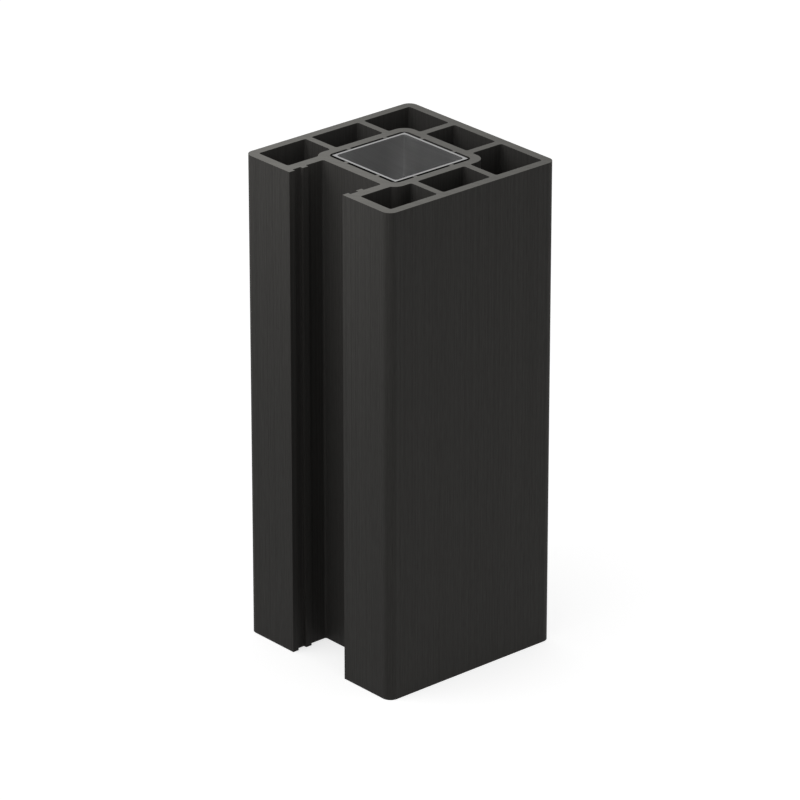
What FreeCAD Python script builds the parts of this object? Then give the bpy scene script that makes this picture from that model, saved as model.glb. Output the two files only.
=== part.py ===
# A short length of square composite fence post, sawn square and stood on end.
#
# The post is one extrusion. Its outer walls and webs leave seven closed chambers
# round a square seat in the core, and the eighth place is an open groove in one
# face, with lips at its mouth that hold the boards of a fence panel. A separate
# square metal tube slides between the ribs of the seat and stiffens the post.
#
# Millimetres, +Z up along the post, origin at the centre of the foot, and the
# groove opens towards -X.

import FreeCAD, Part
import math
import os

import Sketcher

# Driving sizes. Each is a cell of the sheet, and every shape below reads it there.
SIZES = {
    # outside of the post
    "post_width": 91.0,
    "post_length": 218.4,
    "corner_radius": 4.0,
    # outer walls: with the groove, beside it, and opposite it
    "groove_face_wall": 4.3,
    "side_wall": 4.1,
    "back_wall": 4.1,
    # webs between the core and the outer walls, and how far along the core's flat
    # sides each stands from where the core's corner begins to round
    "side_web": 3.2,
    "side_web_inset": 3.3,
    "back_web": 3.5,
    "back_web_inset": 3.0,
    # panel groove
    "groove_width": 36.4,
    "groove_wall": 4.5,
    "groove_floor": 4.7,
    "lip_width": 3.0,
    "lip_height": 1.5,
    "lip_pitch": 7.2,
    # core seat
    "core_wall": 4.0,
    "core_radius": 6.0,
    "seat_radius": 3.0,
    "seat_gap": 1.3,
    "rib_width": 1.9,
    "rib_offset": 9.9,
    # rounding of the chambers' and the groove's inside corners
    "chamber_radius": 1.0,
    # metal tube, and its play between the ribs
    "tube_size": 40.0,
    "tube_wall": 1.5,
    "tube_outer_radius": 0.5,
    "tube_inner_radius": 0.8,
    "tube_play": 0.1,
}

# Counts that belong to the form: lips on each wall of the groove, sides of the seat.
LIP_COUNT = 2
SEAT_SIDES = 4
FULL_TURN = 360

# An inside corner is told apart by a point this far beside its edge. Two walls whose
# normals have a dot product above the limit run smoothly into each other.
PROBE_DISTANCE = 0.05
PROBE_TOLERANCE = 0.005
SMOOTH_LIMIT = 0.99

# Distances from the post's axis, worked out from the driving sizes.
OUTSIDE = "sizes.post_width / 2"
GROOVE_FACE_INSIDE = "(sizes.post_width / 2 - sizes.groove_face_wall)"
SIDE_INSIDE = "(sizes.post_width / 2 - sizes.side_wall)"
BACK_INSIDE = "(sizes.post_width / 2 - sizes.back_wall)"
TUBE_OUTSIDE = "sizes.tube_size / 2"
TUBE_INSIDE = "(sizes.tube_size / 2 - sizes.tube_wall)"
RIB_TIP = "(sizes.tube_size / 2 + sizes.tube_play)"
SEAT_INSIDE = "(sizes.tube_size / 2 + sizes.seat_gap)"
CORE_OUTSIDE = f"({SEAT_INSIDE} + sizes.core_wall)"
CORE_FLAT_END = f"({CORE_OUTSIDE} - sizes.core_radius)"
SIDE_WEB_OUTSIDE = f"({CORE_FLAT_END} - sizes.side_web_inset)"
SIDE_WEB_INSIDE = f"({SIDE_WEB_OUTSIDE} - sizes.side_web)"
BACK_WEB_OUTSIDE = f"({CORE_FLAT_END} - sizes.back_web_inset)"
BACK_WEB_INSIDE = f"({BACK_WEB_OUTSIDE} - sizes.back_web)"
GROOVE_DEPTH_END = f"({SEAT_INSIDE} + sizes.groove_floor)"
GROOVE_INSIDE = "sizes.groove_width / 2"
GROOVE_OUTSIDE = "(sizes.groove_width / 2 + sizes.groove_wall)"
LIP_TIP = "(sizes.groove_width / 2 - sizes.lip_height)"


document = FreeCAD.newDocument("composite_fence_post")
sizes = document.addObject("Spreadsheet::Sheet", "sizes")
for row, (name, value) in enumerate(SIZES.items(), start=1):
    sizes.set(f"A{row}", name)
    sizes.set(f"B{row}", str(value))
    sizes.setAlias(f"B{row}", name)
document.recompute()


def origin_feature(body, role):
    """Finds a plane or an axis of the body's own origin."""
    return next(f for f in body.Origin.OriginFeatures if f.Role == role)


def new_sketch(body, name):
    """Starts a sketch on the plane of the foot."""
    sketch = body.newObject("Sketcher::SketchObject", name)
    sketch.AttachmentSupport = (origin_feature(body, "XY_Plane"), [""])
    sketch.MapMode = "FlatFace"
    return sketch


def read_size(formula):
    """Works a formula out with the sheet's present values."""
    return float(sizes.evalExpression(formula))


def hold(sketch, direction, line, formula):
    """Keeps a line at a distance from the post's axis that a formula gives."""
    now = read_size(formula)
    tie = Sketcher.Constraint(direction, -1, 1, line, 1, now)
    index = sketch.addConstraint(tie)
    sketch.setExpression(f"Constraints[{index}]", formula)


def draw_sides(sketch, left, right, front, back, radius):
    """Draws the four sides of a box, each stopping a radius short of its corners."""
    points = [
        ((left + radius, front), (right - radius, front)),
        ((right, front + radius), (right, back - radius)),
        ((right - radius, back), (left + radius, back)),
        ((left, back - radius), (left, front + radius)),
    ]
    lines = []
    for start, end in points:
        segment = Part.LineSegment(FreeCAD.Vector(*start, 0), FreeCAD.Vector(*end, 0))
        lines.append(sketch.addGeometry(segment, False))
    for line in lines[0::2]:
        sketch.addConstraint(Sketcher.Constraint("Horizontal", line))
    for line in lines[1::2]:
        sketch.addConstraint(Sketcher.Constraint("Vertical", line))
    return lines


def hold_sides(sketch, lines, left, right, front, back):
    """Ties the four sides of a box to their formulas."""
    hold(sketch, "DistanceY", lines[0], front)
    hold(sketch, "DistanceX", lines[1], right)
    hold(sketch, "DistanceY", lines[2], back)
    hold(sketch, "DistanceX", lines[3], left)


def rectangle(sketch, left, right, front, back):
    """Draws a rectangle whose four sides follow formulas."""
    edges = [read_size(formula) for formula in (left, right, front, back)]
    lines = draw_sides(sketch, *edges, 0.0)
    for line, following in zip(lines, lines[1:] + lines[:1]):
        sketch.addConstraint(Sketcher.Constraint("Coincident", line, 2, following, 1))
    hold_sides(sketch, lines, left, right, front, back)


def rounded_rectangle(sketch, left, right, front, back, radius_formula):
    """Draws a rectangle with one radius at its four corners."""
    edges = [read_size(formula) for formula in (left, right, front, back)]
    radius = read_size(radius_formula)
    lines = draw_sides(sketch, *edges, radius)
    low_x, high_x, low_y, high_y = edges
    centres = [
        (high_x - radius, low_y + radius),
        (high_x - radius, high_y - radius),
        (low_x + radius, high_y - radius),
        (low_x + radius, low_y + radius),
    ]
    quarter = math.pi / 2
    arcs = []
    for turn, centre in enumerate(centres):
        up = FreeCAD.Vector(0, 0, 1)
        circle = Part.Circle(FreeCAD.Vector(*centre, 0), up, radius)
        start = (turn - 1) * quarter
        arcs.append(sketch.addGeometry(Part.ArcOfCircle(circle, start, start + quarter), False))
    for line, arc, following in zip(lines, arcs, lines[1:] + lines[:1]):
        sketch.addConstraint(Sketcher.Constraint("Tangent", line, 2, arc, 1))
        sketch.addConstraint(Sketcher.Constraint("Tangent", arc, 2, following, 1))
    for arc in arcs[1:]:
        sketch.addConstraint(Sketcher.Constraint("Equal", arcs[0], arc))
    index = sketch.addConstraint(Sketcher.Constraint("Radius", arcs[0], radius))
    sketch.setExpression(f"Constraints[{index}]", radius_formula)
    hold_sides(sketch, lines, left, right, front, back)


def rounded_square(sketch, half, radius_formula):
    """Draws a rounded square about the post's axis."""
    rounded_rectangle(sketch, f"-{half}", half, f"-{half}", half, radius_formula)


def add_length(body, sketch):
    """Adds a sketch to the body over the whole length of the post."""
    pad = body.newObject("PartDesign::Pad", sketch.Name + "_pad")
    pad.Profile = sketch
    pad.setExpression("Length", "sizes.post_length")
    document.recompute()
    return pad


def cut_length(body, sketch):
    """Cuts a sketch out of the body from the foot upwards, and sees that it cut."""
    before = body.Shape.Volume
    pocket = body.newObject("PartDesign::Pocket", sketch.Name + "_cut")
    pocket.Profile = sketch
    pocket.Type = "ThroughAll"
    pocket.Reversed = True
    document.recompute()
    if body.Shape.Volume >= before:
        raise RuntimeError(f"{pocket.Name} cut nothing")
    return pocket


def is_inside_corner(shape, edge):
    """Tells whether two walls meet at an upright edge with the hollow between them."""
    walls = shape.ancestorsOfType(edge, Part.Face)
    if len(walls) != 2:
        return False
    middle = edge.valueAt((edge.FirstParameter + edge.LastParameter) / 2)
    normals = []
    for wall in walls:
        across, along = wall.Surface.parameter(middle)
        normals.append(wall.normalAt(across, along))
    if abs(normals[0].dot(normals[1])) > SMOOTH_LIMIT:
        return False
    beside = middle + (normals[0] - normals[1]) * PROBE_DISTANCE
    return shape.isInside(beside, PROBE_TOLERANCE, True)


def inside_corners(shape):
    """Names the upright edges that run the whole length in an inside corner."""
    length = read_size("sizes.post_length")
    names = []
    for number, edge in enumerate(shape.Edges, start=1):
        ends = [vertex.Point for vertex in edge.Vertexes]
        if len(ends) != 2 or abs(ends[1].z - ends[0].z) < length - PROBE_TOLERANCE:
            continue
        if is_inside_corner(shape, edge):
            names.append(f"Edge{number}")
    return names


def add_outer_wall(body):
    """The square outside with its rounded corners, hollowed to the wall thicknesses."""
    outline = new_sketch(body, "outline")
    rounded_square(outline, OUTSIDE, "sizes.corner_radius")
    add_length(body, outline)
    hollow = new_sketch(body, "hollow")
    rectangle(
        hollow, f"-{GROOVE_FACE_INSIDE}", BACK_INSIDE, f"-{SIDE_INSIDE}", SIDE_INSIDE
    )
    cut_length(body, hollow)


def add_webs(body):
    """Two webs from side to side, and two from the seat to the back."""
    side_webs = new_sketch(body, "side_webs")
    from_side_to_side = (f"-{SIDE_INSIDE}", SIDE_INSIDE)
    rectangle(side_webs, SIDE_WEB_INSIDE, SIDE_WEB_OUTSIDE, *from_side_to_side)
    rectangle(side_webs, f"-{SIDE_WEB_OUTSIDE}", f"-{SIDE_WEB_INSIDE}", *from_side_to_side)
    add_length(body, side_webs)
    back_webs = new_sketch(body, "back_webs")
    from_seat_to_back = (SEAT_INSIDE, BACK_INSIDE)
    rectangle(back_webs, *from_seat_to_back, BACK_WEB_INSIDE, BACK_WEB_OUTSIDE)
    rectangle(back_webs, *from_seat_to_back, f"-{BACK_WEB_OUTSIDE}", f"-{BACK_WEB_INSIDE}")
    add_length(body, back_webs)


def add_core(body):
    """The rounded core block, the groove's walls that run into it, and the seat."""
    core = new_sketch(body, "core")
    rounded_rectangle(
        core,
        f"-{GROOVE_DEPTH_END}",
        CORE_OUTSIDE,
        f"-{CORE_OUTSIDE}",
        CORE_OUTSIDE,
        "sizes.core_radius",
    )
    add_length(body, core)
    groove_walls = new_sketch(body, "groove_walls")
    from_face_to_web = (f"-{GROOVE_FACE_INSIDE}", f"-{SIDE_WEB_INSIDE}")
    rectangle(groove_walls, *from_face_to_web, GROOVE_INSIDE, GROOVE_OUTSIDE)
    rectangle(groove_walls, *from_face_to_web, f"-{GROOVE_OUTSIDE}", f"-{GROOVE_INSIDE}")
    add_length(body, groove_walls)
    seat = new_sketch(body, "seat")
    rounded_square(seat, SEAT_INSIDE, "sizes.seat_radius")
    cut_length(body, seat)


def open_groove(body):
    """Opens the groove through the face, as deep as the wall of the core."""
    groove = new_sketch(body, "groove")
    rectangle(
        groove, f"-{OUTSIDE}", f"-{GROOVE_DEPTH_END}", f"-{GROOVE_INSIDE}", GROOVE_INSIDE
    )
    cut_length(body, groove)


def round_chambers(body):
    """Rounds the inside corners of the chambers and of the groove."""
    unrounded = body.Tip
    rounding = body.newObject("PartDesign::Fillet", "chamber_rounding")
    rounding.Base = (unrounded, inside_corners(unrounded.Shape))
    rounding.setExpression("Radius", "sizes.chamber_radius")
    document.recompute()


def add_lips(body):
    """Two lips along one wall of the groove, mirrored to the other wall."""
    lips = new_sketch(body, "lips")
    for place in range(LIP_COUNT):
        start = f"-({OUTSIDE} - {place} * sizes.lip_pitch)"
        end = f"-({OUTSIDE} - {place} * sizes.lip_pitch - sizes.lip_width)"
        rectangle(lips, start, end, LIP_TIP, GROOVE_INSIDE)
    pad = add_length(body, lips)
    both_walls = body.newObject("PartDesign::Mirrored", "lips_on_both_walls")
    both_walls.Originals = [pad]
    both_walls.MirrorPlane = (origin_feature(body, "XZ_Plane"), [""])
    body.Tip = both_walls
    document.recompute()


def add_ribs(body):
    """Two ribs that guide the tube, repeated on the four sides of the seat."""
    ribs = new_sketch(body, "ribs")
    for side in ("", "-"):
        middle = f"{side}sizes.rib_offset"
        rectangle(
            ribs,
            RIB_TIP,
            SEAT_INSIDE,
            f"({middle} - sizes.rib_width / 2)",
            f"({middle} + sizes.rib_width / 2)",
        )
    pad = add_length(body, ribs)
    all_sides = body.newObject("PartDesign::PolarPattern", "ribs_on_all_sides")
    all_sides.Originals = [pad]
    all_sides.Axis = (origin_feature(body, "Z_Axis"), [""])
    all_sides.Angle = FULL_TURN
    all_sides.Occurrences = SEAT_SIDES
    body.Tip = all_sides
    document.recompute()


def make_post_profile():
    """The composite extrusion."""
    body = document.addObject("PartDesign::Body", "post_profile")
    body.Label = "post_profile"
    add_outer_wall(body)
    add_webs(body)
    add_core(body)
    open_groove(body)
    round_chambers(body)
    add_lips(body)
    add_ribs(body)
    return body


def make_core_tube():
    """The square metal tube in the core, sawn off flush with the post."""
    body = document.addObject("PartDesign::Body", "core_tube")
    body.Label = "core_tube"
    outside = new_sketch(body, "tube_outside")
    rounded_square(outside, TUBE_OUTSIDE, "sizes.tube_outer_radius")
    add_length(body, outside)
    inside = new_sketch(body, "tube_inside")
    rounded_square(inside, TUBE_INSIDE, "sizes.tube_inner_radius")
    cut_length(body, inside)
    return body


def check_document(bodies):
    """Stops if a feature failed, or a piece isn't one sound solid."""
    for item in document.Objects:
        if "Invalid" in item.State or "Error" in item.State:
            raise RuntimeError(f"{item.Name} failed: {item.State}")
    for body in bodies:
        shape = body.Shape
        if shape.isNull() or not shape.isValid() or len(shape.Solids) != 1:
            raise RuntimeError(f"{body.Label} isn't one sound solid")


pieces = [make_post_profile(), make_core_tube()]
document.recompute()
check_document(pieces)

os.makedirs("parts", exist_ok=True)
for piece in pieces:
    piece.Shape.exportStep(f"parts/{piece.Label}.step")
    box = piece.Shape.BoundBox
    print(
        f"{piece.Label}: {box.XLength:.2f} x {box.YLength:.2f} x {box.ZLength:.2f} mm,"
        f" {piece.Shape.Volume / 1000:.2f} cm3, {len(piece.Shape.Faces)} faces"
    )
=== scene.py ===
# %% [markdown]
# # A composite fence post, finished in Blender
# The object is a short sample of a square fence post. It was squeezed out of a die as
# one long section of wood flour and plastic, brushed, and sawn off at both ends. A
# square aluminium tube stands in its core.
#
# The shapes are already made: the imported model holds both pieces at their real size,
# in metres, with the post standing on the floor. What is left to do here is the look
# of each surface, the room round the post, the light and the camera.

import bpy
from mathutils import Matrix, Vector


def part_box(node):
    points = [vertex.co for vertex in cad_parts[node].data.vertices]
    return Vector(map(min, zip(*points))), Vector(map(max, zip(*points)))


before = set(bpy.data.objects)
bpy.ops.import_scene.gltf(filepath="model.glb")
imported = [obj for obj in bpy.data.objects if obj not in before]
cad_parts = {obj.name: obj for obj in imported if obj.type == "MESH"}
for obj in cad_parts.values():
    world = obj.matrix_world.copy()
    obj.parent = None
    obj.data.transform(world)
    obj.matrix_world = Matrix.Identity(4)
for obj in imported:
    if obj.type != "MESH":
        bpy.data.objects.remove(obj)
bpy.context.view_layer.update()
print("pieces:", sorted(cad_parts))

# %% The libraries that this script uses
import math

import bpy
from mathutils import Vector

scene = bpy.context.scene
scene.view_settings.view_transform = "Standard"

# %% [markdown]
# ## The post's own measures
# Light, camera and finish are all placed from the post itself, so that they still fit
# if it is made longer or wider. The box of each piece tells where its sides and its
# sawn ends are.

# %% Measure the two pieces
MM = 0.001

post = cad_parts["post_profile"]
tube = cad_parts["core_tube"]
post_low, post_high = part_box("post_profile")
tube_low, tube_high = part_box("core_tube")
post_middle = (post_low + post_high) / 2
tube_middle = (tube_low + tube_high) / 2

post_size = (post_high - post_low) / MM
tube_size = (tube_high - tube_low) / MM
print("post:", [round(value, 1) for value in post_size], "mm")
print("tube:", [round(value, 1) for value in tube_size], "mm")

# %% [markdown]
# ## The camera
# The picture that this follows was taken from above and in front of one corner, with
# the groove on the left. Its upright edges are drawn exactly upright, as with a lens
# that is shifted far down while the camera stays level. A camera with so much shift
# would show nothing of the post from any other side, so this one stands at the same
# point of view and tilts down to the middle of the post instead. It hides and shows
# the same things, and the upright edges lean together a little at the foot.

# %% Put the camera at the point of view
VIEW_AZIMUTH = math.radians(-41.13)
VIEW_ELEVATION = math.radians(23.66)
VIEW_DISTANCE = 2.34
LENS_MM = 251.2
SENSOR_MM = 36.0


def direction(azimuth, elevation):
    """The way from the post to something seen at an azimuth and an elevation."""
    level = math.cos(elevation)
    return Vector(
        (math.sin(azimuth) * level, -math.cos(azimuth) * level, math.sin(elevation))
    )


def look_along(way):
    """The turn of a camera or a lamp that looks along a way."""
    return way.to_track_quat("-Z", "Y").to_euler()


camera_data = bpy.data.cameras.new("view_of_the_groove_corner")
camera_data.lens = LENS_MM
camera_data.sensor_width = SENSOR_MM
camera = bpy.data.objects.new("view_of_the_groove_corner", camera_data)
scene.collection.objects.link(camera)
scene.camera = camera

towards_camera = direction(VIEW_AZIMUTH, VIEW_ELEVATION)
camera.location = post_middle + towards_camera * VIEW_DISTANCE
camera.rotation_euler = look_along(-towards_camera)
print("camera at", [round(value, 3) for value in camera.location])

# %% [markdown]
# ## Building a finish from nodes
# A finish is a small network: pattern nodes make grey values, and these steer the
# colour, the roughness and the fine relief of one shader. Such a network could be
# wired up by hand in the editor. In a script it reads best with a helper that adds a
# node, sets its inputs and links whatever comes from another node.

# %% Helpers to add and join nodes


def connect(tree, value, socket):
    """Gives an input a plain value, or links the output of another node to it."""
    if isinstance(value, bpy.types.NodeSocket):
        tree.links.new(value, socket)
    else:
        socket.default_value = value


def add_node(tree, kind, settings=None, **inputs):
    """Adds a node with its settings and its inputs, named as in the editor."""
    node = tree.nodes.new(kind)
    for name, value in (settings or {}).items():
        setattr(node, name, value)
    for name, value in inputs.items():
        connect(tree, value, node.inputs[name.replace("_", " ")])
    return node


def calculate(tree, operation, *values):
    """Adds a sum on one to three values, and hands back its result."""
    node = tree.nodes.new("ShaderNodeMath")
    node.operation = operation
    for socket, value in zip(node.inputs, values):
        connect(tree, value, socket)
    return node.outputs[0]


# %% Helpers to stretch and to blend
SHARE_RANGE = (0.0, 1.0)
OPAQUE = 1.0


def rescale(tree, value, old_range, new_range):
    """Stretches a range of values to another range, and holds it there."""
    node = add_node(tree, "ShaderNodeMapRange", {"clamp": True}, Value=value)
    limits = dict(zip(("From Min", "From Max"), old_range))
    limits.update(zip(("To Min", "To Max"), new_range))
    for name, limit in limits.items():
        node.inputs[name].default_value = limit
    return node.outputs["Result"]


def blend_colours(tree, share, first, second):
    """Goes from one colour to another as the share goes from 0 to 1."""
    node = tree.nodes.new("ShaderNodeMix")
    node.data_type = "RGBA"
    connect(tree, share, node.inputs[0])
    colours = [socket for socket in node.inputs if socket.type == "RGBA"]
    for socket, colour in zip(colours, (first, second)):
        if isinstance(colour, tuple):
            colour = (*colour, OPAQUE)
        connect(tree, colour, socket)
    return next(socket for socket in node.outputs if socket.type == "RGBA")


def start_finish(name):
    """Makes a material, and hands back it, its network and its shader."""
    material = bpy.data.materials.new(name)
    material.use_nodes = True
    tree = material.node_tree
    return material, tree, tree.nodes["Principled BSDF"]


# %% [markdown]
# ## The white room
# The post stands in a white room, and in the picture the background is pure white.
# More light would reach that white, but it would also wash out the post. Instead the
# world looks white only to the camera and in reflections, and lights the post with a
# plain share of that.

# %% Make the white room
ROOM_COLOUR = (1.0, 1.0, 1.0, OPAQUE)
ROOM_LEVEL = 0.57
SEEN_LEVEL = 1.0


def seen_or_reflected(tree):
    """Is 1 where the camera, a reflection or glass looks, and 0 for plain light."""
    path = tree.nodes.new("ShaderNodeLightPath").outputs
    seen = calculate(tree, "MAXIMUM", path["Is Camera Ray"], path["Is Glossy Ray"])
    return calculate(tree, "MAXIMUM", seen, path["Is Transmission Ray"])


def make_room():
    """A white backdrop that lights the post from all round at the room's level."""
    world = bpy.data.worlds.new("white_room")
    world.use_nodes = True
    tree = world.node_tree
    levels = (ROOM_LEVEL, SEEN_LEVEL)
    level = rescale(tree, seen_or_reflected(tree), SHARE_RANGE, levels)
    backdrop = tree.nodes["Background"]
    backdrop.inputs["Color"].default_value = ROOM_COLOUR
    connect(tree, level, backdrop.inputs["Strength"])
    return world


scene.world = make_room()
print("room level", ROOM_LEVEL)

# %% [markdown]
# ## The floor
# A wide pale floor carries the post. It has to look as white as the room, and still
# take the post's shadow. So it is plain matt grey, with a glow on top that only the
# camera and reflections see. A glow that lit the post too would flatten its foot.

# %% Make the floor
FLOOR_RADIUS = 12.0
FLOOR_SIDES = 96
FLOOR_COLOUR = (0.65, 0.65, 0.65, OPAQUE)
FLOOR_GLOW = 0.68


def make_floor_finish():
    """A matt pale floor with a glow that only the camera and reflections see."""
    material, tree, shader = start_finish("pale_floor")
    tree.nodes.remove(shader)
    matt = add_node(tree, "ShaderNodeBsdfDiffuse", Color=FLOOR_COLOUR)
    strength = calculate(tree, "MULTIPLY", seen_or_reflected(tree), FLOOR_GLOW)
    glow = add_node(tree, "ShaderNodeEmission", Strength=strength)
    both = tree.nodes.new("ShaderNodeAddShader")
    connect(tree, matt.outputs[0], both.inputs[0])
    connect(tree, glow.outputs[0], both.inputs[1])
    connect(tree, both.outputs[0], tree.nodes["Material Output"].inputs["Surface"])
    return material


bpy.ops.mesh.primitive_circle_add(
    vertices=FLOOR_SIDES,
    radius=FLOOR_RADIUS,
    fill_type="NGON",
    location=(post_middle.x, post_middle.y, post_low.z),
)
floor = bpy.context.object
floor.name = "floor"
floor.data.materials.append(make_floor_finish())
print(f"floor {2 * FLOOR_RADIUS:.0f} m across")

# %% [markdown]
# ## The studio light
# On the real sample the groove's face is brighter than the plain face beside it, and
# it darkens towards the foot. The sawn end is brighter on the left than on the right.
# All that says one small softbox close to the top, on the groove's side, in a room
# that is bright all round. A lamp far away would light the face evenly. The softbox
# has a grid in front, so that it lights the post and hardly the floor, which would
# throw light back on the foot.

# %% Hang the softbox
LAMP_AZIMUTH = math.radians(-102)
LAMP_ELEVATION = math.radians(48)
LAMP_DISTANCE = 0.2
LAMP_SIZE = 0.155
LAMP_SPREAD = math.radians(90)
LAMP_POWER = 0.075
AIM_BEHIND_GROOVE_FACE = 65 * MM
AIM_BELOW_TOP = 60 * MM

lamp_data = bpy.data.lights.new("softbox", "AREA")
lamp_data.shape = "SQUARE"
lamp_data.size = LAMP_SIZE
lamp_data.spread = LAMP_SPREAD
lamp_data.energy = LAMP_POWER
lamp = bpy.data.objects.new("softbox", lamp_data)
lamp.visible_camera = False
scene.collection.objects.link(lamp)

lamp_aim = Vector(
    (
        post_low.x + AIM_BEHIND_GROOVE_FACE,
        post_middle.y,
        post_high.z - AIM_BELOW_TOP,
    )
)
towards_lamp = direction(LAMP_AZIMUTH, LAMP_ELEVATION)
lamp.location = lamp_aim + towards_lamp * LAMP_DISTANCE
lamp.rotation_euler = look_along(-towards_lamp)
print("softbox at", [round(value, 3) for value in lamp.location])

# %% [markdown]
# ## Where each kind of surface is
# One piece of composite carries two surfaces: walls that came out of the die and were
# brushed, and two sawn ends, where the cut shows the paler flour inside. The tube has
# the same two. Each could be a material of its own, but the change runs exactly along
# the sharp edges, so one material can tell the surfaces apart by itself: a sawn end
# is where the surface faces straight up or down.

# %% Tell the surfaces apart
SAWN_FACES_UP = 0.7


def sawn_share(tree):
    """Is 1 on the two sawn ends, and 0 on all walls."""
    facing = tree.nodes.new("ShaderNodeNewGeometry").outputs["True Normal"]
    parts = add_node(tree, "ShaderNodeSeparateXYZ", Vector=facing)
    steepness = calculate(tree, "ABSOLUTE", parts.outputs["Z"])
    return calculate(tree, "GREATER_THAN", steepness, SAWN_FACES_UP)


def place_on_post(tree):
    """Where on the post a point lies, in metres."""
    return tree.nodes.new("ShaderNodeTexCoord").outputs["Object"]


# %% [markdown]
# ## Stretched noise
# Seen close, the brushed face is a field of thin upright lines, some lighter and some
# darker. A wave pattern would repeat. Stretched noise doesn't: the place on the post
# is turned and squeezed along one or two directions before it goes into the noise, so
# every grain of the noise comes out as a long thin line. The noise fills space, so a
# line that meets a corner carries on without a seam. The mapping node is set to
# Texture, which turns first and squeezes after, so that its scale is the grain's size.

# %% Stretched noise


def stretched_noise(tree, place, grain, turn=(0.0, 0.0, 0.0), detail=1.0):
    """Noise whose grains measure so much along x, y and z, in metres, and are turned."""
    squeeze = add_node(
        tree,
        "ShaderNodeMapping",
        {"vector_type": "TEXTURE"},
        Vector=place,
        Rotation=turn,
        Scale=grain,
    )
    noise = add_node(
        tree,
        "ShaderNodeTexNoise",
        Vector=squeeze.outputs["Vector"],
        Scale=1.0,
        Detail=detail,
    )
    return noise.outputs[0]


def mix_patterns(tree, shares):
    """Adds up patterns, each with its share of the whole."""
    total = 0.0
    for share, pattern in shares:
        total = calculate(tree, "MULTIPLY_ADD", pattern, share, total)
    return total


# %% [markdown]
# ## The brushed walls
# The lines on the walls are of three kinds. Scores of the die run the whole length.
# The brush laid shorter lines over them, a centimetre or two long, and the finest, a
# few millimetres long, come from single grains of flour. All are less than a millimetre
# wide. One noise alone would give lines of one length only, so each kind is a
# stretched noise of its own, and the three are added up.

# %% Lines along the walls
SCORE_GRAIN = (0.45 * MM, 0.45 * MM, 900 * MM)
BRUSH_GRAIN = (0.40 * MM, 0.40 * MM, 13 * MM)
FLOUR_GRAIN = (0.32 * MM, 0.32 * MM, 5 * MM)
SCORE_SHARE = 0.47
BRUSH_SHARE = 0.25
FLOUR_SHARE = 0.28
LINE_RANGE = (0.38, 0.62)


def wall_lines(tree, place):
    """All the lines of a wall, as one value from 0 to 1."""
    lines = mix_patterns(
        tree,
        (
            (SCORE_SHARE, stretched_noise(tree, place, SCORE_GRAIN)),
            (BRUSH_SHARE, stretched_noise(tree, place, BRUSH_GRAIN)),
            (FLOUR_SHARE, stretched_noise(tree, place, FLOUR_GRAIN)),
        ),
    )
    return rescale(tree, lines, LINE_RANGE, SHARE_RANGE)


# %% [markdown]
# ## The sawn ends
# A saw leaves faint straight scores across the cut, all at one angle, and between
# them the flour shows as a fine grain. The stripes of a wave pattern would be too
# even for a saw. So both are noise again: one stretched across the cut and turned to
# the saw's angle, one left as round grains.

# %% Grain and scores of the sawn ends
SAW_TURN = (0.0, 0.0, math.radians(31))
SAW_GRAIN = (0.5 * MM, 60 * MM, 60 * MM)
CUT_GRAIN = (0.35 * MM, 0.35 * MM, 0.35 * MM)
SAW_SHARE = 0.5
CUT_SHARE = 0.5
CUT_RANGE = (0.35, 0.65)
CUT_DETAIL = 2.0


def sawn_grain(tree, place):
    """Flour grains and saw scores on the cut, as one value from 0 to 1."""
    scores = stretched_noise(tree, place, SAW_GRAIN, SAW_TURN, CUT_DETAIL)
    flour = stretched_noise(tree, place, CUT_GRAIN, detail=CUT_DETAIL)
    both = mix_patterns(tree, ((SAW_SHARE, scores), (CUT_SHARE, flour)))
    return rescale(tree, both, CUT_RANGE, SHARE_RANGE)


# %% [markdown]
# ## The charcoal composite
# Charcoal composite is nearly black with a warm cast. The lines make it lighter or
# darker by a tenth or so, the pale ones are a little smoother, and their relief is a
# few hundredths of a millimetre. The sawn ends are about four times as light and
# quite matt. The plastic's own sheen is weak, because the brush has roughened it, so
# the shader's mirror part is set low rather than its roughness to the full.

# %% Make the composite
WALL_DARK = (0.0286, 0.0275, 0.0258)
WALL_LIGHT = (0.0381, 0.0366, 0.0345)
WALL_ROUGHNESS = (0.66, 0.54)
SAWN_DARK = (0.1100, 0.1077, 0.1009)
SAWN_LIGHT = (0.1502, 0.1466, 0.1371)
SAWN_ROUGHNESS = 0.85
SHEEN = 0.1
LINE_RELIEF = 0.03 * MM
LINE_RELIEF_STRENGTH = 0.5


def make_composite():
    """Brushed charcoal composite with paler sawn ends."""
    material, tree, shader = start_finish("charcoal_composite")
    place = place_on_post(tree)
    sawn = sawn_share(tree)
    lines = wall_lines(tree, place)

    wall = blend_colours(tree, lines, WALL_DARK, WALL_LIGHT)
    cut = blend_colours(tree, sawn_grain(tree, place), SAWN_DARK, SAWN_LIGHT)
    colour = blend_colours(tree, sawn, wall, cut)
    connect(tree, colour, shader.inputs["Base Color"])

    wall_roughness = rescale(tree, lines, SHARE_RANGE, WALL_ROUGHNESS)
    cut_roughness = calculate(tree, "MULTIPLY", sawn, SAWN_ROUGHNESS)
    roughness = calculate(tree, "MAXIMUM", wall_roughness, cut_roughness)
    connect(tree, roughness, shader.inputs["Roughness"])
    shader.inputs["Specular IOR Level"].default_value = SHEEN

    relief = add_node(tree, "ShaderNodeBump", Height=lines)
    relief.inputs["Distance"].default_value = LINE_RELIEF
    relief.inputs["Strength"].default_value = LINE_RELIEF_STRENGTH
    connect(tree, relief.outputs["Normal"], shader.inputs["Normal"])
    return material


composite = make_composite()
post.material_slots[0].material = composite
print("composite:", len(composite.node_tree.nodes), "nodes")

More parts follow.
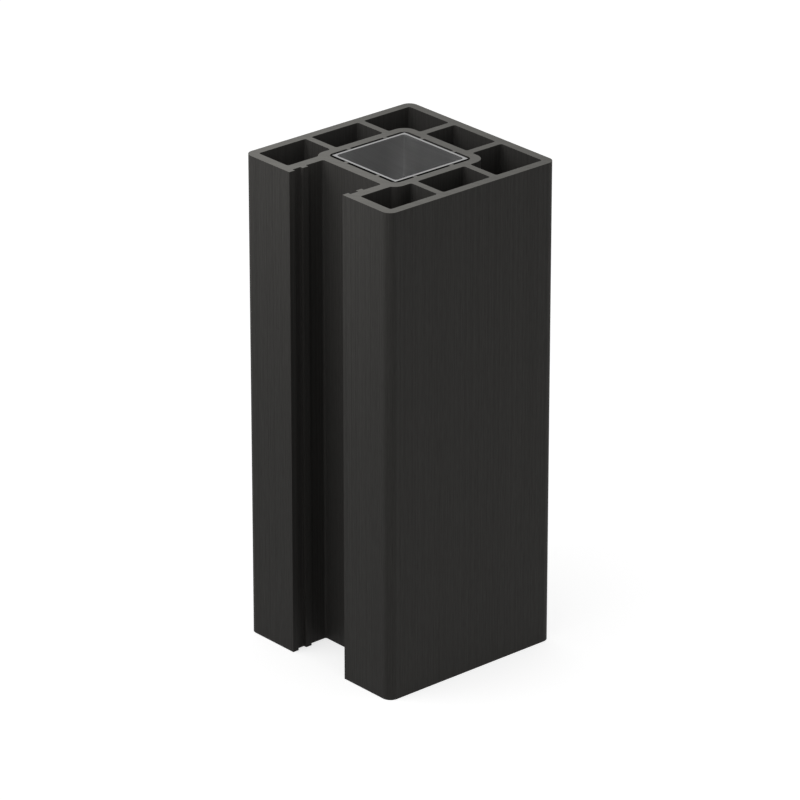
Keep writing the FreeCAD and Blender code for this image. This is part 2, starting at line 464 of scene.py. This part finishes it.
# %% [markdown]
# ## The aluminium tube
# The tube is mill aluminium, as it left its own die: even, grey and half dull. Its
# sawn rim faces the whole room, so it looks brightest and frames the dark gap round
# it. In the picture the inside keeps one grey as far down as it can be seen and right
# into its corners, because real metal hands light on from wall to wall. A renderer
# follows that only for a few steps and gets too dark, so painted light makes up for
# it: the metal's grey rises a little with the depth and towards the corners. The small
# rounding in each corner stays a thin pale line all the way down, a painted highlight
# that is a shade darker at the rim and lighter deeper down. Faint lines of the die lean
# across the walls. The outer face, seen in the gap, is painted nearly black as the
# shade of the gap. All of this is grey, so plain numbers do, and a colour is needed only
# where two are mixed.
#
# The bright part of the rim looks narrower in the picture than the solid's wall is
# thick, and the gap beside it looks wider. The solid keeps its own measures here, so a
# band of painted shade along both edges of the rim makes up for that, narrowing the
# bright rim and widening the dark line of the gap. It is a colour and no shape. The
# inner band stops where the small rounding in each corner begins.

# %% Tell where on the tube a point lies
TUBE_REACH = (tube_high.x - tube_low.x) / 2
OUTER_FACE_DEPTH = 0.5 * MM


def tube_reaches(tree, parts):
    """How far a point is from the middle along its wall, and out to that wall."""
    sideways = calculate(tree, "SUBTRACT", parts["X"], tube_middle.x)
    lengthways = calculate(tree, "SUBTRACT", parts["Y"], tube_middle.y)
    pair = [calculate(tree, "ABSOLUTE", value) for value in (sideways, lengthways)]
    return calculate(tree, "MINIMUM", *pair), calculate(tree, "MAXIMUM", *pair)


def outer_painted_shade_share(tree, reach):
    """Is 1 on the outer faces of the tube, and 0 on its inner walls."""
    return calculate(tree, "GREATER_THAN", reach, TUBE_REACH - OUTER_FACE_DEPTH)


# %% The grey of the tube's inner walls, with painted light
# The grey that rises with the depth and the gain towards the corners are painted light,
# in place of the light that the walls hand on to each other.
METAL_DEPTHS = (0.0, 22 * MM)
METAL_PAINTED_LIGHT_BY_DEPTH = (0.30, 0.58)
CORNER_REACHES = (8 * MM, 18 * MM)
CORNER_PAINTED_LIGHT_GAIN = (1.0, 1.3)
ROUNDING_REACHES = (17.6 * MM, 18.0 * MM)
# The roundings' grey is painted light: a tenth darker at the rim and lighter deeper
# down, so that their highlight stays a pale line.
ROUNDING_PAINTED_HIGHLIGHT_BY_DEPTH = (-0.10, 0.08)
METAL_LINE_RANGE = (0.35, 0.65)
LINE_GAIN = (0.965, 1.035)


def inner_grey_with_painted_light(tree, parts, along, lines):
    """The grey of the inner walls: painted light by depth, near corners and on the
    roundings, and die lines.
    """
    depth = calculate(tree, "SUBTRACT", tube_high.z, parts["Z"])
    grey = rescale(tree, depth, METAL_DEPTHS, METAL_PAINTED_LIGHT_BY_DEPTH)
    rounding_highlight = rescale(tree, depth, METAL_DEPTHS, ROUNDING_PAINTED_HIGHLIGHT_BY_DEPTH)
    rounding = rescale(tree, along, ROUNDING_REACHES, SHARE_RANGE)
    for gain in (
        rescale(tree, along, CORNER_REACHES, CORNER_PAINTED_LIGHT_GAIN),
        rescale(tree, lines, METAL_LINE_RANGE, LINE_GAIN),
        calculate(tree, "MULTIPLY_ADD", rounding, rounding_highlight, 1.0),
    ):
        grey = calculate(tree, "MULTIPLY", grey, gain)
    return grey


# %% Paint shade on the edges of the sawn rim
TUBE_WALL = 1.5 * MM
INNER_REACH = TUBE_REACH - TUBE_WALL
INNER_ROUNDING = 0.8 * MM
PAINTED_SHADE_BAND_WIDTH = 0.21 * MM


def painted_shade_band_share(tree, along, reach):
    """Is 1 on the bands of painted shade at both edges of the rim, and 0 on the flat
    between.
    """
    outer = calculate(tree, "GREATER_THAN", reach, TUBE_REACH - PAINTED_SHADE_BAND_WIDTH)
    inner = calculate(tree, "LESS_THAN", reach, INNER_REACH + PAINTED_SHADE_BAND_WIDTH)
    straight = calculate(tree, "LESS_THAN", along, INNER_REACH - INNER_ROUNDING)
    inner = calculate(tree, "MULTIPLY", inner, straight)
    return calculate(tree, "MAXIMUM", outer, inner)


# %% Make the aluminium
# The outside grey is painted shade: the darkness of the gap, put on the tube's outer
# faces and on the bands at the rim's edges.
METAL_OUTSIDE_PAINTED_SHADE = (0.02, 0.02, 0.02)
METAL_RIM = (0.32, 0.365)
METAL_ROUGHNESS = (0.42, 0.48)
METAL_LINE_GRAIN = (45 * MM, 45 * MM, 0.6 * MM)
METAL_LINE_TURN = (0.0, math.radians(35), 0.0)
METAL_RELIEF = 0.01 * MM
ALL_METAL = 1.0


def make_aluminium():
    """Mill aluminium with inner walls, outer faces and a sawn rim, with painted light
    and shade.
    """
    material, tree, shader = start_finish("mill_aluminium")
    place = place_on_post(tree)
    parts = add_node(tree, "ShaderNodeSeparateXYZ", Vector=place).outputs
    along, reach = tube_reaches(tree, parts)
    lines = stretched_noise(tree, place, METAL_LINE_GRAIN, METAL_LINE_TURN)

    inside = inner_grey_with_painted_light(tree, parts, along, lines)
    # The outer faces are painted dark as the shade in the gap.
    wall = blend_colours(tree, outer_painted_shade_share(tree, reach), inside, METAL_OUTSIDE_PAINTED_SHADE)
    flat = rescale(tree, sawn_grain(tree, place), SHARE_RANGE, METAL_RIM)
    # The edges of the rim get painted shade.
    rim = blend_colours(tree, painted_shade_band_share(tree, along, reach), flat, METAL_OUTSIDE_PAINTED_SHADE)
    colour = blend_colours(tree, sawn_share(tree), wall, rim)
    connect(tree, colour, shader.inputs["Base Color"])
    shader.inputs["Metallic"].default_value = ALL_METAL

    roughness = rescale(tree, lines, SHARE_RANGE, METAL_ROUGHNESS)
    connect(tree, roughness, shader.inputs["Roughness"])
    relief = add_node(tree, "ShaderNodeBump", Height=lines)
    relief.inputs["Distance"].default_value = METAL_RELIEF
    connect(tree, relief.outputs["Normal"], shader.inputs["Normal"])
    return material


aluminium = make_aluminium()
tube.material_slots[0].material = aluminium
print("aluminium:", len(aluminium.node_tree.nodes), "nodes")
